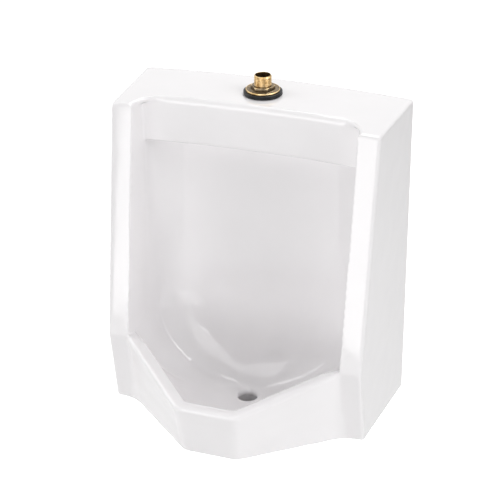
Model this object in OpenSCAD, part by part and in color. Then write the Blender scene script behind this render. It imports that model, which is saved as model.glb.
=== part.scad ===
// Wall-hung urinal in vitreous china with a brass top spud, its outlet fittings and its wall hangers.
// The back lies on the wall plane y = 0, the front faces -y, and z = 0 is the centre of the outlet.

/* [China body] */
// Width across the front of the two posts at deck level
front_w = 457; // [400:1:520]
// Width against the wall
back_w = 474; // [440:1:540]
// Height of the deck's corners above the outlet
deck_z = 538; // [500:1:600]
// How much higher the deck is in the middle than at its ends
deck_crown = 7.5; // [2:0.5:12]
// Depth from the wall to the front of the posts at deck level
deck_depth = 171.5; // [165:0.5:190]
// Depth from the wall to the knee, where the posts stop leaning out
knee_depth = 236.5; // [225:0.5:260]
// Height of the knee
knee_z = 139; // [120:1:160]
// Depth from the wall to the foot of the posts
foot_depth = 211; // [200:1:220]
// Height of the foot at the wall
back_foot_z = -16; // [-30:1:-8]
// Width of the front face of each post
post_w = 37; // [32:1:50]
// Depth from the wall to where a post's inner wall starts to curve, at the knee
curve_depth = 160; // [150:1:172]
// Wall thickness of the china
wall = 10; // [8:0.5:13]
// Radius along the outer edges of the posts and deck
edge_r = 4; // [2:0.5:6]

/* [Lintel] */
// Height of the lintel's face below the deck
lintel_h = 81.5; // [70:0.5:95]
// Depth from the wall to the lintel's face
lintel_depth = 128; // [122:1:138]
// Radius along the lintel's top edge
lintel_r = 8; // [4:0.5:11]
// How far along the lintel the deck's edge starts to curve forward to each post
lintel_corner = 46; // [30:1:52]
// How far forward of the lintel's face that curve meets the post
deck_corner = 39; // [30:1:40]

/* [Bowl] */
// Depth from the wall to the nose of the bowl's rim
nose_depth = 363.5; // [345:0.5:385]
// Width of the nose's straight front at the rim, between its corners
nose_w = 104; // [80:1:130]
// Height of the rim at the nose
nose_z = 102; // [90:1:112]
// Depth from the wall to the nose's lower edge
nose_foot_depth = 343; // [325:1:350]
// Width of the nose's straight front at its lower edge
nose_foot_w = 93; // [75:1:115]
// Height of the nose's lower edge
nose_foot_z = 6; // [0:1:12]
// Corner radius of the nose seen from above
nose_r = 26; // [18:1:30]
// Radius along the rim's outer edge
rim_r = 6; // [3:0.5:8]
// Width of the rim, measured square to its edge
rim_w = 23; // [19:0.5:28]
// How far the rim slopes down towards the bowl
rim_drop = 5; // [2:0.5:8]
// Depth from the wall to the middle of the drain
drain_depth = 158; // [150:1:164]
// Height of the bowl's lowest point
drain_z = 13; // [10:0.5:16]
// Radius of the drain hole
drain_r = 16; // [13:0.5:17]
// Radius of the dished seat round the drain hole
drain_dish_r = 20; // [18.5:0.5:22]
// Fullness of the bowl's floor, where a larger value is flatter with a tighter cove
bowl_fullness = 1.7; // [1.5:0.1:2]

/* [Back panel] */
// Depth from the wall to the flat back panel
panel_depth = 87; // [82:1:92]
// Height where the back panel starts to curve into the bowl
cove_z = 180; // [170:1:200]
// Width of the flat back panel between its creases
panel_w = 274; // [250:1:290]
// Height above the knee over which the creases fade
crease_fade = 160; // [120:1:220]

/* [Wash chamber] */
// Length of the chamber behind the lintel
chamber_w = 300; // [280:1:308]
// Depth from the wall to the chamber's back
chamber_depth = 44; // [42:1:46]
// Number of wash holes under the lintel
wash_holes = 11; // [5:1:13]
// Spacing of the wash holes
wash_pitch = 24; // [16:1:26]
// Radius of a wash hole
wash_r = 3.5; // [2.5:0.5:5]

/* [Trap and outlet] */
// Radius of the passage through the trap
trap_r = 18; // [16:0.5:19]
// Wall of the trap
trap_wall = 8; // [6:0.5:10]
// Radius of the trap's lower bend along its middle
trap_bend = 41; // [40:0.5:43]
// Height of the middle of the lower bend
trap_bend_z = -46; // [-52:1:-42]
// Radius of the bend from the rising leg to the outlet
outlet_bend = 26; // [24:0.5:28]
// Inner radius of the outlet horn
horn_r = 25; // [22:0.5:26]
// How far the horn's face stands in front of the wall
horn_setback = 18; // [16:0.5:22]
// Distance between the two outlet bolts
outlet_bolt_spacing = 90; // [84:1:96]
// Radius of the outlet bolts
bolt_r = 4; // [3:0.5:4.5]

/* [Wall flange and hangers] */
// Thickness of the flange that lies against the wall
flange_t = 20; // [18:0.5:24]
// Width of the flange at the sides
flange_w = 40; // [30:1:44]
// Height of the flange at the top
flange_top_h = 84; // [80:1:90]
// Distance between the two hangers
hanger_pitch = 300; // [280:1:310]
// Width of a hanger plate
hanger_w = 66; // [50:1:72]
// How far the ledge that carries the china lies below the deck's corners
hanger_drop = 56; // [52:1:60]
// Thickness of the hanger's steel
hanger_t = 3; // [2:0.5:4]
// Distance between the two screw holes in a hanger
hanger_screw_pitch = 36; // [24:1:40]
// Radius of a hanger's screw holes
hanger_screw_r = 3.5; // [2.5:0.5:4]
// Height of a hanger's plate
hanger_plate_h = 42; // [34:1:46]
// Depth from the wall to the front of a hanger's ledge
hanger_ledge = 24; // [23:0.5:30]
// Height of the lip behind the china's bridge
hanger_lip = 12; // [6:1:18]
// Depth of the pocket round a hanger's plate
pocket_depth = 9; // [5:0.5:12]

/* [Outlet fittings] */
// Thickness of the outlet gasket as squeezed
gasket_squeeze = 5; // [3:0.5:8]
// Thickness of the outlet flange's plate
plate_t = 8; // [5:0.5:9]
// Outer radius of the outlet flange's hub
hub_r = 37; // [34:0.5:39]
// Inner radius of the hub, which takes the drain pipe
pipe_r = 29.3; // [26:0.1:30.5]
// Thickness of a brass washer on an outlet bolt
outlet_washer_t = 1.6; // [1:0.1:2.5]
// Height of a nut on an outlet bolt
outlet_nut_h = 6.5; // [5:0.5:8]
// Height of an outlet bolt's head
head_h = 4.4; // [3:0.1:4.6]

/* [Spud] */
// Depth from the wall to the middle of the spud
spud_depth = 70; // [66:1:80]
// Outer radius of the spud's thread
spud_r = 14.5; // [14.2:0.1:15]
// Depth of the spud's thread
thread_depth = 1; // [0.8:0.1:1.2]
// Inner radius of the spud
spud_bore_r = 12.6; // [10:0.1:12.8]
// Length of thread that stands above the locknut
spud_stand = 18; // [12:1:26]
// Radius of the hole in the deck
spud_hole_r = 19; // [18.5:0.1:21]
// Radius of the rubber gasket's flange
gasket_r = 32.5; // [30:0.5:36]
// Thickness of the rubber gasket's flange
gasket_t = 6.5; // [4:0.5:8]
// Radius of the brass washer
washer_r = 28.5; // [25:0.5:29.5]
// Thickness of the brass washer
washer_t = 2.8; // [2:0.1:4]
// Size of the locknut across its flats
locknut_af = 35.5; // [33:0.5:40]
// Height of the locknut
locknut_h = 6; // [5:0.5:8]
// How far the locknut is turned from square to the wall
locknut_turn = 10; // [0:1:30]

/* [Hidden] */
$fn = 64;

china_color = "white";
brass_color = "goldenrod";
rubber_color = "black";
steel_color = "silver";

fit_gap = 0.1;                // clearance between pieces that slide over each other
over = 1;                     // how far a cutter passes a face
air_depth = 1.2 * nose_depth; // depth beyond which there is only air
edge_fn = 16;                 // facets round the body's small edge radius
trap_fn = 24;                 // facets round the trap
side_slope = (back_w - front_w) / 2 / deck_depth;
base_slope = (back_foot_z - nose_foot_z) / nose_foot_depth;
post_inner_top = front_w / 2 - post_w;
post_inner_knee = half_width(-knee_depth) - post_w;
post_inner_foot = half_width(-foot_depth) - post_w;
rim_slope = (knee_z - nose_z) / (nose_depth - knee_depth);
drain_centre = [0, -drain_depth];
deck_mid_z = deck_z + deck_crown;
lintel_z = deck_z - lintel_h;
inner_draft = 1.5;            // lean of a post's inner wall from its front to where it curves
curve_lead = 2;               // how far behind the lintel's face that wall stays straight
crease_lean = 0.5;            // slope at which the curve meets the back panel
crease_soft = 4;              // rounding of the back panel's crease at the top
crease_full = 70;             // rounding of the same corner at the knee
crease_top_z = knee_z + crease_fade;
channel_levels = [knee_z + 1, 0.65 * knee_z + 0.35 * cove_z, 0.3 * knee_z + 0.7 * cove_z, cove_z,
    0.67 * cove_z + 0.33 * crease_top_z, 0.33 * cove_z + 0.67 * crease_top_z, crease_top_z];
corner_low = 6;               // how far the lintel's face runs forward where it meets a post
corner_lead = 8;              // how far the deck's curve keeps off that corner
corner_drop = lintel_r + 6;   // height over which that curve goes over into the corner
floor_rows = 14;              // rows of the bowl's cove
shell_rows = 8;               // rows of the same cove on its outside
dish_lip = 2;                 // flat ring round the drain's dish
concave_rim_r = 6;            // fillet between bowl and post at the rim
concave_foot_r = 20;          // the same fillet at the foot
fillet_lean = 3;              // how far that fillet ends behind the post's face
apron_back = 30;              // how far the apron reaches into the block
hollow_floor = -60;           // height below which the back is open underneath
hollow_margin = 3;            // extra wall along the apron's foot
hollow_share = 0.5;           // share of the apron's height that is hollow
spud_seat_z = deck_mid_z - 0.2;
lug_thickness = 12;           // of the two lugs beside the outlet horn
horn_lug_r = 15;
flange_lug_r = 13;
seat_gap = 0.3;               // clearance where a piece rests on another
hanger_z = deck_z - hanger_drop;
hanger_side_gap = 4;          // room beside a hanger's plate
hanger_lift = 4;              // room above a hanger's plate
screw_rise = 24;              // height of a hanger's screws above its ledge
spud_top = gasket_t + washer_t + locknut_h + spud_stand;
shank_r = spud_r - thread_depth;
sleeve_drop = wall + 6;       // how far the gasket's sleeve reaches into the deck
flare_h = 10;                 // height of the spud's flared foot
rim_lip = 4;                  // how far the rim's inner edge rolls down into the bowl
lip_w = 3;                    // width of that roll
lintel_foot_r = 4;            // rounding along the lintel's lower edge

function lerp(a, b, t) = a + (b - a) * t;
function clamp01(t) = min(1, max(0, t));
function unit(v) = v / norm(v);
function bezier(p, q, r, t) = (1 - t) * (1 - t) * p + 2 * t * (1 - t) * q + t * t * r;
function half_width(y) = front_w / 2 + (y + deck_depth) * side_slope;
function deck_top(x) = deck_z + deck_crown * (1 - pow(x / (back_w / 2), 2));
function rim_z(y) = nose_z + (y + nose_depth) * rim_slope;
function base_z(y) = nose_foot_z + (y + nose_foot_depth) * base_slope;
function post_front(z) = z > knee_z
    ? -lerp(knee_depth, deck_depth, (z - knee_z) / (deck_z - knee_z))
    : -lerp(foot_depth, knee_depth, (z - base_z(-foot_depth)) / (knee_z - base_z(-foot_depth)));
function post_inner(z) = lerp(post_inner_knee, post_inner_top, clamp01((z - knee_z) / (deck_z - knee_z)));
function unit_cove(s) = pow(1 - s * s, 1 / bowl_fullness);

// Loops of points run anticlockwise seen from above, and a loft joins them from the lowest to the highest.
function mirrored(half) = concat(half,
    [for (i = [len(half) - 1:-1:0]) if (half[i][0] > 0.01) [-half[i][0], half[i][1]]]);
function normal_at(loop, i) = let (
        n = len(loop),
        d = loop[(i + 1) % n] - loop[(i + n - 1) % n])
    unit([d[1], -d[0]]);
function grown(loop, g) = [for (i = [0:len(loop) - 1]) loop[i] + g * normal_at(loop, i)];
function at_level(loop, z) = [for (p = loop) [p[0], p[1], z]];

module loft(rows) {
    n = len(rows[0]);
    last = (len(rows) - 1) * n;
    sides = [for (r = [0:len(rows) - 2]) for (i = [0:n - 1]) for (half = [0, 1])
        let (a = r * n + i, b = r * n + (i + 1) % n)
        half == 0 ? [a, a + n, b + n] : [a, b + n, b]];
    polyhedron(
        points = [for (row = rows) each row],
        faces = concat([[for (i = [0:n - 1]) i]], sides, [[for (i = [n - 1:-1:0]) last + i]]),
        convexity = 8);
}

// The inner wall of a post runs straight back and then curves to the flat panel behind the cavity.
function cavity_front(z) = [post_inner(max(z, knee_z)), post_front(max(z, knee_z))];
function wall_end(z) = [cavity_front(z)[0] - inner_draft,
    -lerp(curve_depth, lintel_depth - curve_lead, clamp01((z - knee_z) / (lintel_z - knee_z)))];
function on_wall(z, y) = let (f = cavity_front(z), w = wall_end(z))
    [lerp(f[0], w[0], (y - f[1]) / (w[1] - f[1])), y];
function crease_round(z) = lerp(crease_full, crease_soft, clamp01((z - knee_z) / crease_fade));
function cavity_side(z, inset) = let (
        w = wall_end(z), c = [panel_w / 2, -panel_depth], d = crease_round(z),
        q = [w[0] - curve_lead, c[1] - crease_lean * (w[0] - c[0])],
        t1 = 1 - d / (2 * norm(c - q)),
        s = bezier(w, q, c, t1))
    concat(
        [on_wall(z, cavity_front(z)[1] + inset)],
        [for (k = [0:7]) bezier(w, q, c, t1 * k / 7)],
        [for (k = [1:4]) bezier(s, c, c - [d, 0], k / 4)]);

// Half loops of the cavity. Each has thirteen points in front and thirteen beside and behind.
function in_air(x) = [for (k = [0:12]) [x * k / 12, -air_depth]];
function channel_half(z) = concat(in_air(cavity_front(z)[0]), cavity_side(z, 0));

// The rim's line, where inset is measured in from its outer edge.
function rim_half(inset) = let (
        run = [post_inner_knee - nose_w / 2, nose_depth - knee_depth],
        side = cavity_side(knee_z, inset * norm(run) / run[0]),
        lean = atan2(run[1], run[0]),
        corner = [nose_w / 2 - inset * tan(lean / 2), inset - nose_depth],
        cut = (nose_r - inset / 2) * tan(lean / 2),
        from = corner - [cut, 0], to = corner + cut * [cos(lean), sin(lean)])
    concat([[0, corner[1]]], [for (k = [0:7]) bezier(from, corner, to, k / 7)],
        [for (k = [1:4]) lerp(to, side[0], k / 5)], side);

// The recess in front of the lintel. back is how far its lower edge is rounded back from the face, and
// spread runs from 0, where the face meets the post in a corner, to 1 at the deck's edge.
function recess_half(z, back, spread) = let (
        face_y = back - lintel_depth,
        meet = on_wall(z, face_y),
        s = on_wall(z, face_y - lerp(corner_low, deck_corner, spread)),
        e = meet - [lerp(corner_low, lintel_corner, spread), 0],
        q = meet - [corner_lead * spread, 0])
    concat(in_air(cavity_front(z)[0]), [cavity_front(z)],
        [for (k = [0:5]) bezier(s, q, e, k / 5)],
        [for (k = [6:-1:1]) [e[0] * k / 7, face_y]]);

// Below its top the cove draws each point in towards the dish round the drain. In front that top is the rim,
// and towards the back it rises until it meets the flat panel at cove_z.
function cove_top(p) = min(knee_z, rim_z(p[1])) - rim_drop - rim_lip;
function coved(p, z, grow) = let (
        top = lerp(cove_top(p), cove_z, clamp01((p[1] + knee_depth) / (knee_depth - panel_depth))),
        s = clamp01((top - z) / (top - drain_z + grow)),
        from = drain_centre + (drain_dish_r + dish_lip + grow) * unit(p - drain_centre),
        flat = lerp(from, p, unit_cove(s)))
    [flat[0], flat[1], z];

function cove_row(grow, a) = [for (p = grown(mirrored(rim_half(rim_w)), grow))
    coved(p, lerp(drain_z - grow, cove_top(p), 1 - sin(a)), grow)];
function drop_row(inset, grow, z_shift) = [for (p = grown(mirrored(rim_half(inset)), grow))
    coved(p, min(knee_z, rim_z(p[1])) + z_shift, grow)];
function level_row(grow, z) = [for (p = grown(mirrored(channel_half(z)), grow)) coved(p, z, grow)];
function crown_row(half, grow, z_shift) =
    [for (p = grown(mirrored(half), grow)) [p[0], p[1], deck_top(p[0]) + z_shift]];

// The open space of bowl, channel and recess is one loft from the drain to above the deck.
module cavity(grow = 0, rows = floor_rows) {
    under = grow - lintel_h;
    loft(concat(
        [for (k = [rows:-1:1]) cove_row(grow, 90 * k / rows)],
        [drop_row(rim_w, grow, -rim_drop - rim_lip)],
        [drop_row(rim_w - lip_w, grow, -rim_drop)],
        [drop_row(rim_r, grow, 0)],
        [for (z = channel_levels) level_row(grow, z)],
        [crown_row(channel_half(lintel_z), grow, under)],
        [for (a = [15, 50, 90]) crown_row(recess_half(lintel_z, lintel_foot_r * (1 - sin(a)), 0), grow,
            under + lintel_foot_r * (1.1 - cos(a)))],
        [crown_row(recess_half(deck_z - corner_drop, 0, 0), grow, -corner_drop)],
        [for (a = [0:22.5:67.5]) let (drop = lintel_r * (1 - sin(a)))
            crown_row(recess_half(deck_z - drop, 0, 1 - pow(drop / corner_drop, 2)),
                grow + lintel_r * (1 - cos(a)), -drop)],
        [crown_row(recess_half(deck_z, 0, 1), grow + 2 * lintel_r, 2 * wall)]));
}

// The drain's dished seat and hole.
module drain_cut() {
    dish_h = 4;
    hole_h = 14;
    flare = (drain_dish_r - drain_r) / dish_h;
    translate([0, -drain_depth, drain_z - dish_h])
        cylinder(h = dish_h + over, r1 = drain_r, r2 = drain_dish_r + over * flare);
    translate([0, -drain_depth, drain_z - hole_h])
        cylinder(h = hole_h, r = drain_r);
}

// The trap is one tube swept down from the drain, round the lower bend and up into the outlet. A station
// is a point of its middle line with the way that the line runs there.
trap_mid_y = trap_bend - drain_depth;
trap_rise_y = trap_mid_y + trap_bend;
trap_end_y = trap_rise_y + outlet_bend;
function trap_stations(top, end) = concat(
    [[-drain_depth, top, -90]],
    [for (a = [180:20:360]) [trap_mid_y + trap_bend * cos(a), trap_bend_z + trap_bend * sin(a), a + 90]],
    [for (a = [180:-22.5:90]) [trap_end_y + outlet_bend * cos(a), outlet_bend * (sin(a) - 1), a - 90]],
    [[end, 0, 0]]);

module trap_tube(r, top, end) {
    loft([for (s = trap_stations(top, end)) [for (k = [0:trap_fn - 1]) let (a = 360 * (k + 0.5) / trap_fn)
        [r * cos(a), s[0] + r * sin(a) * sin(s[2]), s[1] - r * sin(a) * cos(s[2])]]]);
}

module along_y(y0, y1, r, fn = 64) {
    translate([0, y0, 0])
        rotate([-90, 0, 0])
            cylinder(h = y1 - y0, r = r, $fn = fn);
}

// The horn and its two lugs, which the outlet bolts pull against the flange.
module horn() {
    along_y(trap_end_y - 8, -horn_setback, horn_r + trap_wall, 40);
    hull()
        for (side = [-1, 1])
            translate([side * outlet_bolt_spacing / 2, 0, 0])
                along_y(-horn_setback - lug_thickness, -horn_setback, horn_lug_r, 32);
}

module horn_cut() {
    slot_r = bolt_r + 0.6;
    slot_run = 6;
    along_y(trap_end_y + 6, over, horn_r);
    for (side = [-1, 1])
        translate([side * outlet_bolt_spacing / 2, 0, 0]) {
            for (shift = [-1, 1])
                translate([shift * slot_run / 2, 0, 0])
                    along_y(-horn_setback - 2 * lug_thickness, over, slot_r);
            translate([-slot_run / 2, -horn_setback - 2 * lug_thickness, -slot_r])
                cube([slot_run, 2 * lug_thickness + horn_setback + over, 2 * slot_r]);
        }
}

// The rounded block of deck, posts and side panels.
module block() {
    foot_z = base_z(-foot_depth);
    hull() {
        for (side = [-1, 1]) {
            translate([side * (half_width(edge_r) - edge_r), edge_r, back_foot_z + edge_r])
                sphere(edge_r, $fn = edge_fn);
            translate([side * (half_width(-foot_depth) - edge_r), edge_r - foot_depth, foot_z + edge_r])
                sphere(edge_r, $fn = edge_fn);
            translate([side * (half_width(-knee_depth) - edge_r), edge_r - knee_depth, knee_z])
                sphere(edge_r, $fn = edge_fn);
        }
        for (k = [-4:4]) {
            back_x = k / 4 * (half_width(edge_r) - edge_r);
            front_x = k / 4 * (half_width(-deck_depth) - edge_r);
            translate([back_x, edge_r, deck_top(back_x) - edge_r])
                sphere(edge_r, $fn = edge_fn);
            translate([front_x, edge_r - deck_depth, deck_top(front_x) - edge_r])
                sphere(edge_r, $fn = edge_fn);
        }
    }
}

// The bowl's outer wall. Its diagonal sides meet the posts in a concave fillet that grows towards the foot.
function apron_half(t) = let (
        nose = [lerp(nose_foot_w, nose_w, t) / 2, -lerp(nose_foot_depth, nose_depth, t)],
        root = [lerp(post_inner_foot, post_inner_knee, t), -lerp(foot_depth, knee_depth, t)],
        lean = atan2(root[1] - nose[1], root[0] - nose[0]),
        dir = [cos(lean), sin(lean)],
        cut = nose_r * tan(lean / 2),
        fillet = lerp(concave_foot_r, concave_rim_r, t))
    concat([[0, nose[1]]],
        [for (k = [0:6]) bezier(nose - [cut, 0], nose, nose + cut * dir, k / 6)],
        [for (k = [0:5]) bezier(root - fillet * dir, root, root + [fillet, fillet_lean], k / 5)],
        [root + [fillet, apron_back], [0, root[1] + apron_back]]);

function apron_row(t, inset, z_shift) = [for (p = grown(mirrored(apron_half(t)), -inset))
    [p[0], p[1], lerp(base_z(p[1]), rim_z(p[1]), t) + z_shift]];

module apron() {
    loft(concat(
        [for (t = [0, 0.33, 0.66]) apron_row(t, 0, 0)],
        [for (a = [0:18:54]) apron_row(1, rim_r * (1 - cos(a)), -rim_r * (1 - sin(a)))]));
}

// The bowl reaches a little below the foot of the apron.
module bowl_underside() {
    reach = nose_foot_depth - 4 * wall;
    intersection() {
        cavity(wall - over / 2, shell_rows);
        translate([-post_inner_knee, -reach, drain_z - 2 * wall])
            cube([2 * post_inner_knee, reach - wall, 5 * wall]);
    }
}

module apron_hollow() {
    loft([
        at_level(grown(mirrored(apron_half(0)), -wall), hollow_floor),
        apron_row(0, wall, -hollow_margin),
        apron_row(hollow_share, wall, 0)]);
}

// The space behind the china that the wall closes, open underneath.
module back_hollow() {
    front_pad = wall + 1;
    side_profile = [[-flange_t, hollow_floor], [front_pad - foot_depth, hollow_floor],
        [front_pad - foot_depth, back_foot_z], [front_pad - knee_depth, knee_z],
        [front_pad - deck_depth, deck_z - wall], [-flange_t, deck_z - wall]];
    intersection() {
        linear_extrude(2 * deck_z, center = true)
            polygon([[half_width(0) - wall, 0], [-half_width(0) + wall, 0],
                [wall - half_width(-air_depth), -air_depth], [half_width(-air_depth) - wall, -air_depth]]);
        rotate([90, 0, 90])
            linear_extrude(2 * back_w, center = true)
                polygon(side_profile);
    }
    opening_w = back_w - 2 * flange_w;
    translate([-opening_w / 2, -flange_t - over, hollow_floor])
        cube([opening_w, flange_t + 2 * over, deck_z - flange_top_h - hollow_floor]);
}

module chamber_shell() {
    w = chamber_w + 2 * wall;
    front_y = wall / 2 - lintel_depth;
    translate([-w / 2, front_y, deck_z - lintel_h - wall])
        cube([w, wall - chamber_depth - front_y, lintel_h + wall]);
}

module chamber() {
    floor_z = deck_mid_z - lintel_h + wall;
    back_y = -chamber_depth;
    front_y = wall + 2 - lintel_depth;
    translate([-chamber_w / 2, front_y, floor_z])
        cube([chamber_w, back_y - front_y, deck_z - wall - floor_z]);
}

module wash_drillings() {
    hole_y = -(lintel_depth + panel_depth) / 2 + 2;
    for (k = [0:wash_holes - 1])
        translate([(k - (wash_holes - 1) / 2) * wash_pitch, hole_y, deck_z - lintel_h - wall])
            cylinder(h = 3 * wall, r = wash_r);
}

// A pocket in the flange takes the hanger's plate, and a notch below it takes the hanger's hook.
module hanger_pocket() {
    w = hanger_w + 2 * hanger_side_gap;
    low = deck_z - flange_top_h - over;
    translate([-w / 2, -pocket_depth, low])
        cube([w, pocket_depth + over, hanger_z + hanger_plate_h + hanger_lift - low]);
    translate([-w / 2, -flange_t - over, low])
        cube([w, flange_t + 2 * over, hanger_z + seat_gap - low]);
}

// The china as it is cast. Rounding leaves it a hair narrow, so it is brought to its exact width.
module casting() {
    resize([back_w, 0, 0])
        difference() {
            union() {
                difference() {
                    union() {
                        block();
                        apron();
                    }
                    difference() {
                        union() {
                            back_hollow();
                            apron_hollow();
                        }
                        cavity(wall, shell_rows);
                        chamber_shell();
                    }
                }
                bowl_underside();
                trap_tube(trap_r + trap_wall, drain_z, trap_end_y);
                horn();
            }
            cavity();
            trap_tube(trap_r, drain_z - 10, over);
            translate([-back_w, 0, -deck_z])
                cube([2 * back_w, 4 * edge_r, 3 * deck_z]);
        }
}

// The casting is drilled for the spud, the wash holes, the drain and the outlet, and slotted for the hangers.
module china_body() {
    color(china_color)
        difference() {
            casting();
            chamber();
            wash_drillings();
            translate([0, -spud_depth, deck_z - 2 * wall])
                cylinder(h = 4 * wall, r = spud_hole_r);
            translate([0, -spud_depth, spud_seat_z])
                cylinder(h = wall, r = gasket_r + 1.5);
            drain_cut();
            horn_cut();
            for (side = [-1, 1])
                translate([side * hanger_pitch / 2, 0, 0])
                    hanger_pocket();
        }
}

// The spud's pieces are revolved about its axis and stacked from the seat on the deck.
module on_spud(z) {
    translate([0, -spud_depth, spud_seat_z + z])
        children();
}

module spud_tube() {
    flare_r = spud_hole_r - 0.8;
    flare_edge = 2;
    chamfer = 1.2;
    nut_top = spud_top - spud_stand;
    color(brass_color)
        on_spud(0)
            rotate_extrude()
                polygon([[spud_bore_r, -sleeve_drop - flare_h], [flare_r, -sleeve_drop - flare_h],
                    [flare_r, flare_edge - sleeve_drop - flare_h], [shank_r, -sleeve_drop - seat_gap],
                    [shank_r, nut_top], [spud_r, nut_top], [spud_r, spud_top - chamfer],
                    [spud_r - chamfer, spud_top], [spud_bore_r, spud_top]]);
}

module spud_gasket() {
    bulge = gasket_t / 2;
    color(rubber_color)
        on_spud(0)
            rotate_extrude()
                difference() {
                    union() {
                        translate([spud_r + fit_gap, 0])
                            square([gasket_r - bulge - spud_r - fit_gap, gasket_t]);
                        translate([gasket_r - bulge, bulge])
                            circle(bulge, $fn = 32);
                        translate([spud_r + fit_gap, -sleeve_drop])
                            square([spud_hole_r - spud_r - 3 * fit_gap, sleeve_drop + 1]);
                    }
                    translate([0, -sleeve_drop - 1])
                        square([spud_r + fit_gap, sleeve_drop + gasket_t + 2]);
                }
}

module spud_washer() {
    rim = 1.6;
    color(brass_color)
        on_spud(gasket_t)
            rotate_extrude()
                polygon([[spud_r + fit_gap, 0], [washer_r, 0], [washer_r, washer_t + 0.4],
                    [washer_r - rim, washer_t + 0.4], [washer_r - 2 * rim, washer_t - 0.6],
                    [spud_r + 7, washer_t - 0.6], [spud_r + 6.4, washer_t], [spud_r + fit_gap, washer_t]]);
}

module hex_nut(af, h, bore_r) {
    corner_r = af / 2 / cos(30);
    difference() {
        intersection() {
            cylinder(h = h, r = corner_r, $fn = 6);
            union() {
                cylinder(h = h - 1.2, r = corner_r);
                translate([0, 0, h - 1.2])
                    cylinder(h = 1.2, r1 = corner_r, r2 = corner_r - 2);
            }
        }
        translate([0, 0, -over])
            cylinder(h = h + 2 * over, r = bore_r);
    }
}

module spud_locknut() {
    color(brass_color)
        on_spud(gasket_t + washer_t)
            rotate(locknut_turn)
                hex_nut(locknut_af, locknut_h, shank_r + fit_gap);
}

// The outlet flange screws onto the drain pipe, and the gasket is squeezed between it and the horn.
plate_y = gasket_squeeze - horn_setback;

module outlet_flange() {
    color(brass_color)
        difference() {
            union() {
                along_y(plate_y, plate_y + plate_t, hub_r + 2);
                along_y(plate_y, 0, hub_r);
                for (side = [-1, 1])
                    translate([side * outlet_bolt_spacing / 2, 0, 0])
                        along_y(plate_y, plate_y + plate_t, flange_lug_r);
                translate([-outlet_bolt_spacing / 2, plate_y, -flange_lug_r])
                    cube([outlet_bolt_spacing, plate_t, 2 * flange_lug_r]);
            }
            along_y(plate_y - over, over, pipe_r);
            for (side = [-1, 1])
                translate([side * outlet_bolt_spacing / 2, 0, 0])
                    along_y(plate_y - over, plate_y + plate_t + over, bolt_r + fit_gap);
        }
}

module outlet_gasket() {
    color(rubber_color)
        difference() {
            along_y(-horn_setback, plate_y, horn_r + trap_wall - 1);
            along_y(-horn_setback - over, plate_y + over, horn_r + 1);
        }
}

module outlet_bolts() {
    tip_y = -horn_setback - lug_thickness - outlet_washer_t - outlet_nut_h - 6;
    color(brass_color)
        for (side = [-1, 1])
            translate([side * outlet_bolt_spacing / 2, 0, 0]) {
                along_y(tip_y, plate_y + plate_t, bolt_r);
                along_y(plate_y + plate_t, plate_y + plate_t + head_h, bolt_r + 3, 6);
            }
}

module outlet_washers() {
    face_y = -horn_setback - lug_thickness;
    color(brass_color)
        for (side = [-1, 1])
            translate([side * outlet_bolt_spacing / 2, 0, 0])
                difference() {
                    along_y(face_y - outlet_washer_t, face_y, bolt_r + 5.5);
                    along_y(face_y - outlet_washer_t - over, face_y + over, bolt_r + fit_gap);
                }
}

module outlet_nuts() {
    face_y = -horn_setback - lug_thickness - outlet_washer_t;
    color(brass_color)
        for (side = [-1, 1])
            translate([side * outlet_bolt_spacing / 2, face_y, 0])
                rotate([90, 0, 0])
                    hex_nut(2 * bolt_r + 5, outlet_nut_h, bolt_r + fit_gap);
}

// A hanger is one strip of steel: a plate against the wall, a ledge, and a lip behind the china's bridge.
module wall_hanger() {
    color(steel_color)
        difference() {
            union() {
                translate([-hanger_w / 2, -hanger_t, hanger_z - hanger_t])
                    cube([hanger_w, hanger_t, hanger_plate_h]);
                translate([-hanger_w / 2, -hanger_ledge, hanger_z - hanger_t])
                    cube([hanger_w, hanger_ledge, hanger_t]);
                translate([-hanger_w / 2, -hanger_ledge - hanger_t, hanger_z - hanger_t])
                    cube([hanger_w, hanger_t, hanger_t + hanger_lip]);
            }
            for (side = [-1, 1])
                translate([side * hanger_screw_pitch / 2, 0, hanger_z + screw_rise])
                    along_y(-hanger_t - over, over, hanger_screw_r);
        }
}

module wall_hanger_left() {
    translate([-hanger_pitch / 2, 0, 0])
        wall_hanger();
}

module wall_hanger_right() {
    translate([hanger_pitch / 2, 0, 0])
        wall_hanger();
}

china_body();
spud_tube();
spud_gasket();
spud_washer();
spud_locknut();
outlet_flange();
outlet_gasket();
outlet_bolts();
outlet_washers();
outlet_nuts();
wall_hanger_left();
wall_hanger_right();
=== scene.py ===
import math

import bmesh
import bpy
from mathutils import Matrix, Vector
from mathutils.kdtree import KDTree


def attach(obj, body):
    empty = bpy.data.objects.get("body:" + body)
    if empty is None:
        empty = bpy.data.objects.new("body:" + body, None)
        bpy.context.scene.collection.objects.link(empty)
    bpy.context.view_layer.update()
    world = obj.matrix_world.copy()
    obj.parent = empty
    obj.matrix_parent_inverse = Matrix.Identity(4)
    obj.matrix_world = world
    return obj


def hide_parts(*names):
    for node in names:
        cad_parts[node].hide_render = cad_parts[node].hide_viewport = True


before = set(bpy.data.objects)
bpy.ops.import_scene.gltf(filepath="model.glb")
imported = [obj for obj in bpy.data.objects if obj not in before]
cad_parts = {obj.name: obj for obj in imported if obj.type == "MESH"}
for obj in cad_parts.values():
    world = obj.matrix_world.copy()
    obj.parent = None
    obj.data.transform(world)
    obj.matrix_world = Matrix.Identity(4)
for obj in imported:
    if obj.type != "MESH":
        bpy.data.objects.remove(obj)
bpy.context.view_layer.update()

mm = 0.001
scene = bpy.context.scene
print("frame loaded:", len(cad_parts), "nodes")


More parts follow.
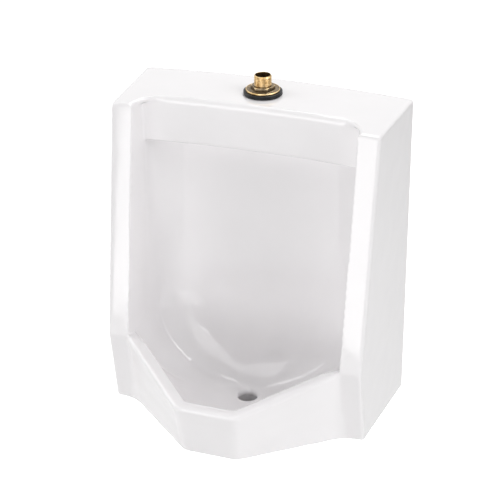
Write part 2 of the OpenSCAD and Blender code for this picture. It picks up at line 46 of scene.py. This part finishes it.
# Camera. The view was fitted to the corners of the posts, deck and bowl in the photograph.
cameraView = {
    "target": (0.0038, -0.150, 0.2951),
    "distance": 2.6981,
    "azimuth": 19.8,
    "elevation": 27.3,
    "roll": -0.5,
    "lens": 115.97,
}


def makeCamera(view):
    turn, lift, roll = (math.radians(view[k]) for k in ("azimuth", "elevation", "roll"))
    back = Vector((math.sin(turn) * math.cos(lift), -math.cos(turn) * math.cos(lift), math.sin(lift)))
    right = Vector((math.cos(turn), math.sin(turn), 0.0))
    up = back.cross(right)
    rolledRight = right * math.cos(roll) + up * math.sin(roll)
    rolledUp = up * math.cos(roll) - right * math.sin(roll)
    camera = bpy.data.objects.new("camera", bpy.data.cameras.new("camera"))
    scene.collection.objects.link(camera)
    camera.data.lens = view["lens"]
    camera.data.sensor_width = 36.0
    camera.matrix_world = Matrix.Translation(Vector(view["target"]) + back * view["distance"]) @ Matrix(
        (rolledRight, rolledUp, back)).transposed().to_4x4()
    scene.camera = camera


makeCamera(cameraView)


# Small helpers for meshes.
def meshObject(name, bm):
    mesh = bpy.data.meshes.new(name)
    bm.to_mesh(mesh)
    bm.free()
    piece = bpy.data.objects.new(name, mesh)
    scene.collection.objects.link(piece)
    return piece


def applyModifiers(piece):
    bpy.context.view_layer.update()
    done = piece.evaluated_get(bpy.context.evaluated_depsgraph_get())
    mesh = bpy.data.meshes.new_from_object(done)
    piece.modifiers.clear()
    piece.data = mesh


def shade(piece, angle=None):
    piece.data.shade_smooth()
    if angle is not None:
        piece.data.set_sharp_from_angle(angle=math.radians(angle))


def mergedCopy(node):
    bm = bmesh.new()
    bm.from_mesh(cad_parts[node].data)
    bmesh.ops.remove_doubles(bm, verts=bm.verts, dist=1e-5)
    return bm


# A profile of (radius, height) points is turned about the Z axis.
def turned(bm, profile, steps=96):
    ring = [bm.verts.new((r * mm, 0.0, z * mm)) for r, z in profile]
    edges = [bm.edges.new(pair) for pair in zip(ring, ring[1:] + ring[:1])]
    bmesh.ops.spin(bm, geom=ring + edges, cent=(0, 0, 0), axis=(0, 0, 1), dvec=(0, 0, 0), angle=math.tau,
                   steps=steps, use_merge=True, use_duplicate=False)


# A thread is one ridge that climbs round the Z axis, closed at both ends.
def threadRidge(bm, root, crest, pitch, low, high, steps=40):
    section = [(root - 0.3, -0.48), (crest, -0.07), (crest, 0.07), (root - 0.3, 0.48)]
    ring = [bm.verts.new((r * mm, 0.0, (low + k * pitch) * mm)) for r, k in section]
    edges = [bm.edges.new(pair) for pair in zip(ring, ring[1:] + ring[:1])]
    turns = (high - low) / pitch
    count = round(turns * steps)
    made = bmesh.ops.spin(bm, geom=ring + edges, cent=(0, 0, 0), axis=(0, 0, 1),
                          dvec=(0, 0, (high - low) * mm / count), angle=math.tau * turns, steps=count,
                          use_merge=False, use_duplicate=False)
    ends = [e for e in made["geom_last"] if isinstance(e, bmesh.types.BMEdge)]
    bmesh.ops.contextual_create(bm, geom=edges)
    bmesh.ops.contextual_create(bm, geom=ends)


def joinInto(bm, part):
    spare = bpy.data.meshes.new("spare")
    part.to_mesh(spare)
    part.free()
    bm.from_mesh(spare)
    bpy.data.meshes.remove(spare)


def closeUp(bm):
    bmesh.ops.remove_doubles(bm, verts=bm.verts, dist=1e-6)
    bmesh.ops.recalc_face_normals(bm, faces=bm.faces)


# A copy of a CAD node whose sharp edges are broken, as tooling and handling leave them.
def bevelledCopy(name, node, width, segments=2, sharp=28.0):
    bm = mergedCopy(node)
    bmesh.ops.dissolve_limit(bm, angle_limit=math.radians(0.5), verts=bm.verts, edges=bm.edges)
    edges = [e for e in bm.edges if len(e.link_faces) == 2 and e.calc_face_angle(0.0) > math.radians(sharp)]
    bmesh.ops.bevel(bm, geom=edges, offset=width * mm, offset_type="OFFSET", segments=segments, profile=0.5,
                    affect="EDGES", clamp_overlap=True, material=-1)
    piece = meshObject(name, bm)
    shade(piece, 38)
    return piece


# Materials.
def linear(hexColour):
    parts = [int(hexColour[k:k + 2], 16) / 255 for k in (1, 3, 5)]
    return tuple(c / 12.92 if c <= 0.04045 else ((c + 0.055) / 1.055) ** 2.4 for c in parts) + (1.0,)


def addNode(tree, kind, inputs=None, **settings):
    node = tree.nodes.new(kind)
    for key, value in settings.items():
        setattr(node, key, value)
    for key, value in (inputs or {}).items():
        if isinstance(value, bpy.types.NodeSocket):
            tree.links.new(value, node.inputs[key])
        else:
            node.inputs[key].default_value = value
    return node


def newMaterial(name):
    material = bpy.data.materials.new(name)
    material.use_nodes = True
    tree = material.node_tree
    tree.nodes.clear()
    place = addNode(tree, "ShaderNodeTexCoord").outputs["Object"]
    return material, tree, place


def finishMaterial(tree, shader):
    addNode(tree, "ShaderNodeOutputMaterial", {"Surface": shader.outputs[0]})


def colourRamp(tree, factor, stops):
    node = addNode(tree, "ShaderNodeValToRGB", {"Fac": factor})
    while len(node.color_ramp.elements) < len(stops):
        node.color_ramp.elements.new(0.5)
    for element, (position, colour) in zip(node.color_ramp.elements, stops):
        element.position = position
        element.color = linear(colour)
    return node.outputs["Color"]


def vitreousChina():
    # Vitreous china: a dense white body under a thick glossy glaze, fired in one piece.
    material, tree, place = newMaterial("glazedVitreousChina")
    cloud = addNode(tree, "ShaderNodeTexNoise", {"Vector": place, "Scale": 1 / 0.09, "Detail": 2.0})
    colour = colourRamp(tree, cloud.outputs["Fac"], [(0.3, "#F2F0F1"), (0.7, "#F4F2F3")])
    wave = addNode(tree, "ShaderNodeTexNoise", {"Vector": place, "Scale": 1 / 0.04, "Detail": 1.0})
    peel = addNode(tree, "ShaderNodeTexNoise", {"Vector": place, "Scale": 1 / 0.004, "Detail": 2.0})
    bumpWave = addNode(tree, "ShaderNodeBump", {
        "Height": wave.outputs["Fac"], "Strength": 0.06, "Distance": 0.004})
    bumpPeel = addNode(tree, "ShaderNodeBump", {"Height": peel.outputs["Fac"], "Strength": 0.03,
                                                "Distance": 0.0004, "Normal": bumpWave.outputs["Normal"]})
    glazed = addNode(tree, "ShaderNodeBsdfPrincipled", {
        "Base Color": colour, "Roughness": 0.09, "IOR": 1.52, "Coat Weight": 0.3, "Coat Roughness": 0.03,
        "Normal": bumpPeel.outputs["Normal"]})
    finishMaterial(tree, glazed)
    return material


def unglazedChina():
    # Unglazed china: the same body where it stood in the kiln and meets the wall, matt and slightly cream.
    material, tree, place = newMaterial("unglazedVitreousChina")
    cloud = addNode(tree, "ShaderNodeTexNoise", {"Vector": place, "Scale": 1 / 0.012, "Detail": 4.0})
    colour = colourRamp(tree, cloud.outputs["Fac"], [(0.3, "#E2DED4"), (0.7, "#ECE8E0")])
    grit = addNode(tree, "ShaderNodeTexNoise", {"Vector": place, "Scale": 1 / 0.0008, "Detail": 3.0})
    bump = addNode(tree, "ShaderNodeBump", {
        "Height": grit.outputs["Fac"], "Strength": 0.4, "Distance": 0.0002})
    bisque = addNode(tree, "ShaderNodeBsdfPrincipled", {
        "Base Color": colour, "Roughness": 0.8, "IOR": 1.5, "Normal": bump.outputs["Normal"]})
    finishMaterial(tree, bisque)
    return material


def brass(name, light, dark, roughness, grain):
    # Brass: warm yellow metal, cast and then turned, dulled brown where the cast skin is left.
    material, tree, place = newMaterial(name)
    blotch = addNode(tree, "ShaderNodeTexNoise", {
        "Vector": place, "Scale": 1 / grain, "Detail": 5.0, "Roughness": 0.65})
    colour = colourRamp(tree, blotch.outputs["Fac"], [(0.35, dark), (0.62, light)])
    rough = addNode(tree, "ShaderNodeMapRange", {
        "Value": blotch.outputs["Fac"], "From Min": 0.3, "From Max": 0.7,
        "To Min": roughness + 0.12, "To Max": roughness})
    grit = addNode(tree, "ShaderNodeTexNoise", {"Vector": place, "Scale": 1 / 0.0006, "Detail": 2.0})
    bump = addNode(tree, "ShaderNodeBump", {
        "Height": grit.outputs["Fac"], "Strength": 0.35, "Distance": 0.0001})
    metal = addNode(tree, "ShaderNodeBsdfPrincipled", {
        "Base Color": colour, "Metallic": 1.0, "Roughness": rough.outputs["Result"],
        "Normal": bump.outputs["Normal"]})
    finishMaterial(tree, metal)
    return material


def blackRubber():
    # Moulded rubber: deep black with a faint grey bloom.
    material, tree, place = newMaterial("mouldedBlackRubber")
    bloom = addNode(tree, "ShaderNodeTexNoise", {"Vector": place, "Scale": 1 / 0.008, "Detail": 4.0})
    colour = colourRamp(tree, bloom.outputs["Fac"], [(0.35, "#040507"), (0.75, "#0B0D12")])
    grain = addNode(tree, "ShaderNodeTexNoise", {"Vector": place, "Scale": 1 / 0.0005, "Detail": 2.0})
    bump = addNode(tree, "ShaderNodeBump", {
        "Height": grain.outputs["Fac"], "Strength": 0.3, "Distance": 0.0001})
    rubber = addNode(tree, "ShaderNodeBsdfPrincipled", {
        "Base Color": colour, "Roughness": 0.36, "IOR": 1.33, "Normal": bump.outputs["Normal"]})
    finishMaterial(tree, rubber)
    return material


def zincSteel():
    # Zinc-plated pressed steel: pale grey with the faint spangle and rolling streaks of sheet.
    material, tree, place = newMaterial("zincPlatedSteel")
    spangle = addNode(tree, "ShaderNodeTexVoronoi", {"Vector": place, "Scale": 1 / 0.004})
    colour = colourRamp(tree, spangle.outputs["Color"], [(0.2, "#A9ACAF"), (0.8, "#BEC1C3")])
    streak = addNode(tree, "ShaderNodeMapping", {"Vector": place, "Scale": (40.0, 900.0, 900.0)})
    rolled = addNode(tree, "ShaderNodeTexNoise", {
        "Vector": streak.outputs["Vector"], "Scale": 1.0, "Detail": 2.0})
    bump = addNode(tree, "ShaderNodeBump", {
        "Height": rolled.outputs["Fac"], "Strength": 0.15, "Distance": 0.0001})
    steel = addNode(tree, "ShaderNodeBsdfPrincipled", {
        "Base Color": colour, "Metallic": 1.0, "Roughness": 0.38, "Normal": bump.outputs["Normal"]})
    finishMaterial(tree, steel)
    return material


finishes = {
    "china": vitreousChina(),
    "bisque": unglazedChina(),
    # Turned brass for the tube, also used as a painted highlight on the washer rim and the nut's upper
    # bevels.
    "turned": brass("turnedBrassAndHighlight", "#E2CBA0", "#B8965F", 0.24, 0.009),
    "cast": brass("castBrass", "#83745E", "#5A4E3D", 0.36, 0.006),
    # Dark brass painted into the spud tube's bore as the shade inside it.
    "paintedBoreShade": brass("paintedBoreShadeBrass", "#4E3C26", "#2C2115", 0.5, 0.005),
    "fittings": brass("fittingBrass", "#CBAA6B", "#A98A50", 0.3, 0.012),
    "rubber": blackRubber(),
    "steel": zincSteel(),
}
print("materials made:", len(finishes))


def fit(piece, finish, slot, *nodes):
    piece.data.materials.clear()
    piece.data.materials.append(finishes[finish])
    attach(piece, "root")
    if nodes:
        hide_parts(*nodes)


# Faces that the test picks get a second finish, such as an edge painted bright as a highlight and worn, a
# bore painted dark as shade, or an unglazed back.
def finishFaces(piece, finish, test):
    piece.data.materials.append(finishes[finish])
    last = len(piece.data.materials) - 1
    for face in piece.data.polygons:
        if test(face):
            face.material_index = last


# China body. The solid is remeshed so that its edges soften as the glaze does, and its facets melt away.
chinaValues = {
    "voxel": 2.6,
    "sharpAngle": 25.0,
    "cornerAngle": 50.0,
    "snap": 0.87,
    "tightRadius": 22.0,
    "edgeReach": (4.0, 14.0),
    "edgePasses": 3,
    "facePasses": 60,
    "triangles": 190000,
    "wallBand": 0.8,
    "wallFacing": 0.8,
    "leastAngle": 3.0,
    "edgeSteps": 3.0,
    "cornerSteps": 0.5,
}


def tightEdges(bm, values):
    points = []
    for edge in bm.edges:
        if len(edge.link_faces) != 2:
            continue
        angle = edge.calc_face_angle(0.0)
        length = edge.calc_length()
        if angle < math.radians(values["leastAngle"]) or length < 1e-6:
            continue
        width = min(2 * f.calc_area() / length for f in edge.link_faces)
        if angle > math.radians(values["sharpAngle"]) or width / angle < values["tightRadius"] * mm:
            steps = max(1, int(length / (values["edgeSteps"] * mm)))
            a, b = (v.co for v in edge.verts)
            points += [a.lerp(b, k / steps) for k in range(steps + 1)]
    return points


# Points along the true corners, which the remesh would leave ragged.
def cornerPoints(bm, values):
    points = []
    for edge in bm.edges:
        if len(edge.link_faces) == 2 and edge.calc_face_angle(0.0) > math.radians(values["cornerAngle"]):
            steps = max(1, int(edge.calc_length() / (values["cornerSteps"] * mm)))
            a, b = (v.co for v in edge.verts)
            points += [a.lerp(b, k / steps) for k in range(steps + 1)]
    return points


def treeOf(points):
    tree = KDTree(len(points))
    for k, p in enumerate(points):
        tree.insert(p, k)
    tree.balance()
    return tree


def makeChina(values):
    bm = mergedCopy("china_body")
    points = tightEdges(bm, values)
    tree = treeOf(points)
    corners = treeOf(cornerPoints(bm, values))
    piece = meshObject("chinaBody", bm)
    remesh = piece.modifiers.new("remesh", "REMESH")
    remesh.mode = "VOXEL"
    remesh.voxel_size = values["voxel"] * mm
    remesh.use_smooth_shade = True
    applyModifiers(piece)
    print("china remeshed:", len(piece.data.polygons), "faces,", len(points), "edge points")
    reach = values["snap"] * values["voxel"] * mm
    for v in piece.data.vertices:
        corner, index, distance = corners.find(v.co)
        if distance < reach:
            v.co = corner
    group = piece.vertex_groups.new(name="faces")
    near, far = (v * mm for v in values["edgeReach"])
    levels = {}
    for v in piece.data.vertices:
        d = tree.find(v.co)[2]
        level = round(10 * min(1.0, max(0.0, (d - near) / (far - near))))
        levels.setdefault(level, []).append(v.index)
    for level, members in levels.items():
        if level:
            group.add(members, level / 10, "REPLACE")
    for name, passes, only in (("edges", values["edgePasses"], ""), ("faces", values["facePasses"], "faces")):
        smooth = piece.modifiers.new(name, "SMOOTH")
        smooth.factor = 0.5
        smooth.iterations = passes
        smooth.vertex_group = only
    applyModifiers(piece)
    thin = piece.modifiers.new("thin", "DECIMATE")
    thin.ratio = min(1.0, values["triangles"] / (2 * len(piece.data.polygons)))
    applyModifiers(piece)
    shade(piece)
    fit(piece, "china", "vitreous_china", "china_body")
    finishFaces(piece, "bisque", lambda face: face.center.y > -values["wallBand"] * mm
                and face.normal.y > values["wallFacing"])
    print("china made:", len(piece.data.polygons), "faces")


makeChina(chinaValues)


# Spud. Its pieces are turned about one axis and stacked from the seat on the deck.
spudValues = {
    "axis": (0.0, -70.0, 545.3),
    "bore": 12.6,
    "root": 13.35,
    "crest": 14.45,
    "pitch": 1.814,
    "threadLow": 14.6,
    "top": 33.3,
    "flare": 18.2,
    "footLow": -26.0,
    "neck": (-15.6, -17.0),
    "gasketRadius": 32.5,
    "gasketThickness": 6.5,
    "gasketBore": 14.6,
    "sleeve": (18.8, -16.0),
    "washerRadius": 28.5,
    "washerThickness": 2.8,
    "brightRim": 1.5,
    "nutBevel": 0.45,
    "nutEdgeFacing": (0.2, 0.95),
}


def onSpud(bm, values):
    bmesh.ops.translate(bm, verts=bm.verts, vec=Vector(values["axis"]) * mm)


def fromAxis(face, values):
    x, y, z = values["axis"]
    return math.hypot(face.center.x - x * mm, face.center.y - y * mm) / mm, face.center.z / mm - z


def makeSpudTube(values):
    bm = bmesh.new()
    root, top, bore = values["root"], values["top"], values["bore"]
    flare, foot = values["flare"], values["footLow"]
    neck, neckLow = values["neck"]
    turned(bm, [(bore, foot + 0.4), (bore + 0.4, foot), (flare - 0.3, foot), (flare, foot + 0.3),
                (flare, foot + 1.7), (flare - 0.3, foot + 2.1), (root + 0.4, neckLow), (root, neck),
                (root, top - 0.5), (root - 0.2, top - 0.1), (root - 0.35, top), (bore + 0.25, top),
                (bore + 0.05, top - 0.1), (bore, top - 0.3)])
    closeUp(bm)
    ridge = bmesh.new()
    threadRidge(ridge, root, values["crest"], values["pitch"], values["threadLow"], top - 1.0)
    closeUp(ridge)
    joinInto(bm, ridge)
    onSpud(bm, values)
    piece = meshObject("spudTube", bm)
    shade(piece, 32)
    fit(piece, "turned", "spud_brass", "spud_tube")
    # The bore is painted dark brown: painted shade inside the tube.
    finishFaces(piece, "paintedBoreShade", lambda face: fromAxis(face, values)[0] < bore + 0.2
                and fromAxis(face, values)[1] < top - 0.2)


# The rubber is squeezed a little: its edge bulges at top and bottom with a shallow waist between.
def makeSpudGasket(values):
    bm = bmesh.new()
    r, t = values["gasketRadius"], values["gasketThickness"]
    bore, (sleeve, low) = values["gasketBore"], values["sleeve"]
    lip = [(r - 1.9, 0.0), (r - 0.9, 0.15), (r - 0.25, 0.7), (r, 1.5), (r - 0.1, 2.3), (r - 0.35, 3.2),
           (r - 0.3, 4.1), (r - 0.1, 4.9), (r - 0.35, 5.8), (r - 1.0, t - 0.12), (r - 1.9, t)]
    turned(bm, [(bore, low), (sleeve, low), (sleeve, -0.1), (sleeve + 0.5, 0.0)] + lip + [
        (bore + 0.5, t), (bore, t - 0.3)], 128)
    closeUp(bm)
    onSpud(bm, values)
    piece = meshObject("spudGasket", bm)
    shade(piece, 40)
    fit(piece, "rubber", "black_rubber", "spud_gasket")


# The washer is pressed with a raised rolled rim and a flat seat for the nut.
def makeSpudWasher(values):
    bm = bmesh.new()
    r, t, bore = values["washerRadius"], values["washerThickness"], values["gasketBore"]
    turned(bm, [(bore, 0.2), (bore + 0.3, 0.0), (r - 0.8, 0.0), (r - 0.2, 0.3), (r, 1.0), (r, t - 0.4),
                (r - 0.15, t + 0.1), (r - 0.5, t + 0.35), (r - 0.9, t + 0.4), (r - 1.3, t + 0.3),
                (r - 1.8, t - 0.05), (r - 2.6, t - 0.45), (r - 3.4, t - 0.6), (bore + 7.2, t - 0.6),
                (bore + 6.6, t - 0.45), (bore + 6.1, t - 0.1), (bore + 5.7, t), (bore + 0.3, t),
                (bore, t - 0.2)], 128)
    closeUp(bm)
    bmesh.ops.translate(bm, verts=bm.verts, vec=(0, 0, values["gasketThickness"] * mm))
    onSpud(bm, values)
    piece = meshObject("spudWasher", bm)
    shade(piece, 50)
    fit(piece, "cast", "spud_brass", "spud_washer")
    # Its rim is given bright turned brass: partly wear, partly a painted highlight on the raised rim.
    finishFaces(piece, "turned", lambda face: fromAxis(face, values)[0] > r - values["brightRim"])


makeSpudTube(spudValues)
makeSpudGasket(spudValues)
makeSpudWasher(spudValues)
locknut = bevelledCopy("spudLocknut", "spud_locknut", spudValues["nutBevel"])
fit(locknut, "cast", "spud_brass", "spud_locknut")
# The bevels that face up are given bright turned brass: a painted highlight where light falls on the nut's
# edges.
flattest, steepest = spudValues["nutEdgeFacing"]
finishFaces(locknut, "turned", lambda face: flattest < face.normal.z < steepest)
print("spud made")


# Outlet fittings. Their edges are broken, and the bolts have their thread.
outletValues = {
    "flangeBevel": 0.8,
    "gasketBevel": 0.6,
    "smallBevel": 0.3,
    "boltSpacing": 90.0,
    "boltRadius": 4.0,
    "boltTip": -44.1,
    "boltHead": (-5.0, -0.6),
    "headRadius": 7.0,
    "headBevel": 0.5,
    "shankEnd": -29.2,
    "threadDepth": 0.75,
    "pitch": 1.25,
}


def makeOutletBolts(values):
    bm = bmesh.new()
    tip, (seat, end) = values["boltTip"], values["boltHead"]
    crest = values["boltRadius"]
    root = crest - values["threadDepth"]
    shank = values["shankEnd"]
    # Along the bolt's own axis: shank from the head, then the threaded end.
    turned(bm, [(0.001, tip), (root - 0.8, tip), (root, tip + 0.8), (root, shank - 0.8), (crest, shank),
                (crest, seat + 0.2), (0.001, seat + 0.2)], 32)
    ridge = bmesh.new()
    threadRidge(ridge, root, crest, values["pitch"], tip + 0.9, shank - 0.4, 24)
    closeUp(ridge)
    closeUp(bm)
    joinInto(bm, ridge)
    head = bmesh.new()
    bmesh.ops.create_cone(head, cap_ends=True, segments=6, radius1=values["headRadius"] * mm,
                          radius2=values["headRadius"] * mm, depth=(end - seat) * mm,
                          matrix=Matrix.Translation((0, 0, (seat + end) / 2 * mm)))
    edges = [e for e in head.edges if all(v.co.z > end * mm - 1e-6 for v in e.verts)]
    bmesh.ops.bevel(head, geom=edges, offset=values["headBevel"] * mm, offset_type="OFFSET", segments=2,
                    profile=0.5, affect="EDGES", clamp_overlap=True, material=-1)
    joinInto(bm, head)
    # The axis is laid along y, and the second bolt is a copy of the first.
    bmesh.ops.rotate(bm, verts=bm.verts, cent=(0, 0, 0), matrix=Matrix.Rotation(-math.pi / 2, 3, "X"))
    half = values["boltSpacing"] / 2 * mm
    bmesh.ops.translate(bm, verts=bm.verts, vec=(-half, 0, 0))
    made = bmesh.ops.duplicate(bm, geom=bm.verts[:] + bm.edges[:] + bm.faces[:])
    twins = [g for g in made["geom"] if isinstance(g, bmesh.types.BMVert)]
    bmesh.ops.translate(bm, verts=twins, vec=(2 * half, 0, 0))
    piece = meshObject("outletBolts", bm)
    shade(piece, 35)
    fit(piece, "fittings", "fittings_brass", "outlet_bolts")


makeOutletBolts(outletValues)
outletPieces = [
    ("outletFlange", "outlet_flange", "flangeBevel", "cast", "fittings_brass"),
    ("outletGasket", "outlet_gasket", "gasketBevel", "rubber", "black_rubber"),
    ("outletWashers", "outlet_washers", "smallBevel", "fittings", "fittings_brass"),
    ("outletNuts", "outlet_nuts", "smallBevel", "fittings", "fittings_brass"),
]
for name, node, bevel, finish, slot in outletPieces:
    fit(bevelledCopy(name, node, outletValues[bevel]), finish, slot, node)
print("outlet fittings made")


# Wall hangers. Bent sheet steel, so the bends are rounded and the cut edges are only broken.
hangerValues = {"edge": 0.35}
for side in ("left", "right"):
    node = "wall_hanger_" + side
    hanger = bevelledCopy("wallHanger" + side.capitalize(), node, hangerValues["edge"])
    fit(hanger, "steel", "hanger_steel", node)
print("wall hangers made")


# Floor, backdrop and light.
stageValues = {"floorZ": -0.51, "floorSize": 30.0, "colour": "#E8E8E8", "mirrored": 0.3, "seen": 0.9}


# The white ground is for rays that see it straight or in a mirror, and adds no light to the object.
def seenOrMirrored(tree):
    ray = addNode(tree, "ShaderNodeLightPath").outputs
    direct = addNode(tree, "ShaderNodeMath", {0: ray["Is Camera Ray"], 1: ray["Is Glossy Ray"]},
                     operation="MAXIMUM")
    return addNode(tree, "ShaderNodeMath", {0: direct.outputs[0], 1: ray["Is Transmission Ray"]},
                   operation="MAXIMUM").outputs[0]


def makeStage(values):
    bm = bmesh.new()
    bmesh.ops.create_grid(bm, x_segments=1, y_segments=1, size=values["floorSize"] / 2,
                          matrix=Matrix.Translation((0, 0, values["floorZ"])))
    floor = meshObject("floor", bm)
    material, tree, place = newMaterial("plainPaleFloor")
    plain = addNode(tree, "ShaderNodeBsdfDiffuse", {"Color": linear(values["colour"])})
    # The camera sees the floor white, and a mirror sees it as pale as it is.
    camera = addNode(tree, "ShaderNodeLightPath").outputs["Is Camera Ray"]
    strength = addNode(tree, "ShaderNodeMapRange", {
        "Value": camera, "To Min": values["mirrored"], "To Max": values["seen"]})
    glow = addNode(tree, "ShaderNodeEmission", {
        "Color": (1, 1, 1, 1), "Strength": strength.outputs["Result"]})
    none = addNode(tree, "ShaderNodeEmission", {"Color": (0, 0, 0, 1), "Strength": 0.0})
    lit = addNode(tree, "ShaderNodeMixShader", {
        0: seenOrMirrored(tree), 1: none.outputs[0], 2: glow.outputs[0]})
    both = addNode(tree, "ShaderNodeAddShader", {0: plain.outputs[0], 1: lit.outputs[0]})
    finishMaterial(tree, both)
    floor.data.materials.append(material)


def makeWorld(ambient):
    world = bpy.data.worlds.new("studio")
    world.use_nodes = True
    tree = world.node_tree
    tree.nodes.clear()
    level = addNode(tree, "ShaderNodeMapRange", {
        "Value": seenOrMirrored(tree), "To Min": ambient, "To Max": 1.0})
    sky = addNode(tree, "ShaderNodeBackground", {
        "Color": (1, 1, 1, 1), "Strength": level.outputs["Result"]})
    addNode(tree, "ShaderNodeOutputWorld", {"Surface": sky.outputs[0]})
    scene.world = world


def softbox(name, place, aim, size, power):
    data = bpy.data.lights.new(name, "AREA")
    data.shape = "RECTANGLE"
    data.size, data.size_y = size
    data.energy = power
    lamp = bpy.data.objects.new(name, data)
    scene.collection.objects.link(lamp)
    lamp.location = place
    lamp.rotation_euler = (Vector(aim) - Vector(place)).to_track_quat("-Z", "Y").to_euler()


makeStage(stageValues)
ambientLevel = 0.075
makeWorld(ambientLevel)

# Each softbox has its place, its aim, its width and height, and its power in watts.
# The large one in front, brighter below, is what the posts and the bowl mirror.
lamps = {
    "frontHigh": ((-0.05, -3.0, 1.2), (-0.05, 0.0, 1.2), (2.8, 1.65), 20.5),
    "frontLow": ((-0.05, -3.0, -0.05), (-0.05, 0.0, -0.05), (2.8, 0.85), 9.3),
    "frontLowLeft": ((-0.5, -2.98, -0.05), (-0.5, 0.0, -0.05), (1.9, 0.85), 12.2),
    "left": ((-3.0, -0.6, 0.8), (0.0, -0.15, 0.25), (1.8, 1.8), 17.9),
    "right": ((3.0, -0.6, 0.8), (0.0, -0.15, 0.25), (1.8, 1.8), 27.4),
    "highLeft": ((-2.2, -0.7, 2.2), (0.0, -0.15, 0.25), (1.4, 1.4), 19.7),
    "highRight": ((2.2, -0.7, 2.2), (0.0, -0.15, 0.25), (1.4, 1.4), 23.5),
    "overhead": ((-0.2, -0.5, 2.8), (0.0, -0.15, 0.25), (1.2, 0.8), 7.9),
    "behind": ((0.0, 1.2, 2.6), (0.0, -0.15, 0.25), (1.2, 1.2), 31.9),
}
for name, (place, aim, size, power) in lamps.items():
    softbox(name, place, aim, size, power)

scene.view_settings.view_transform = "Standard"
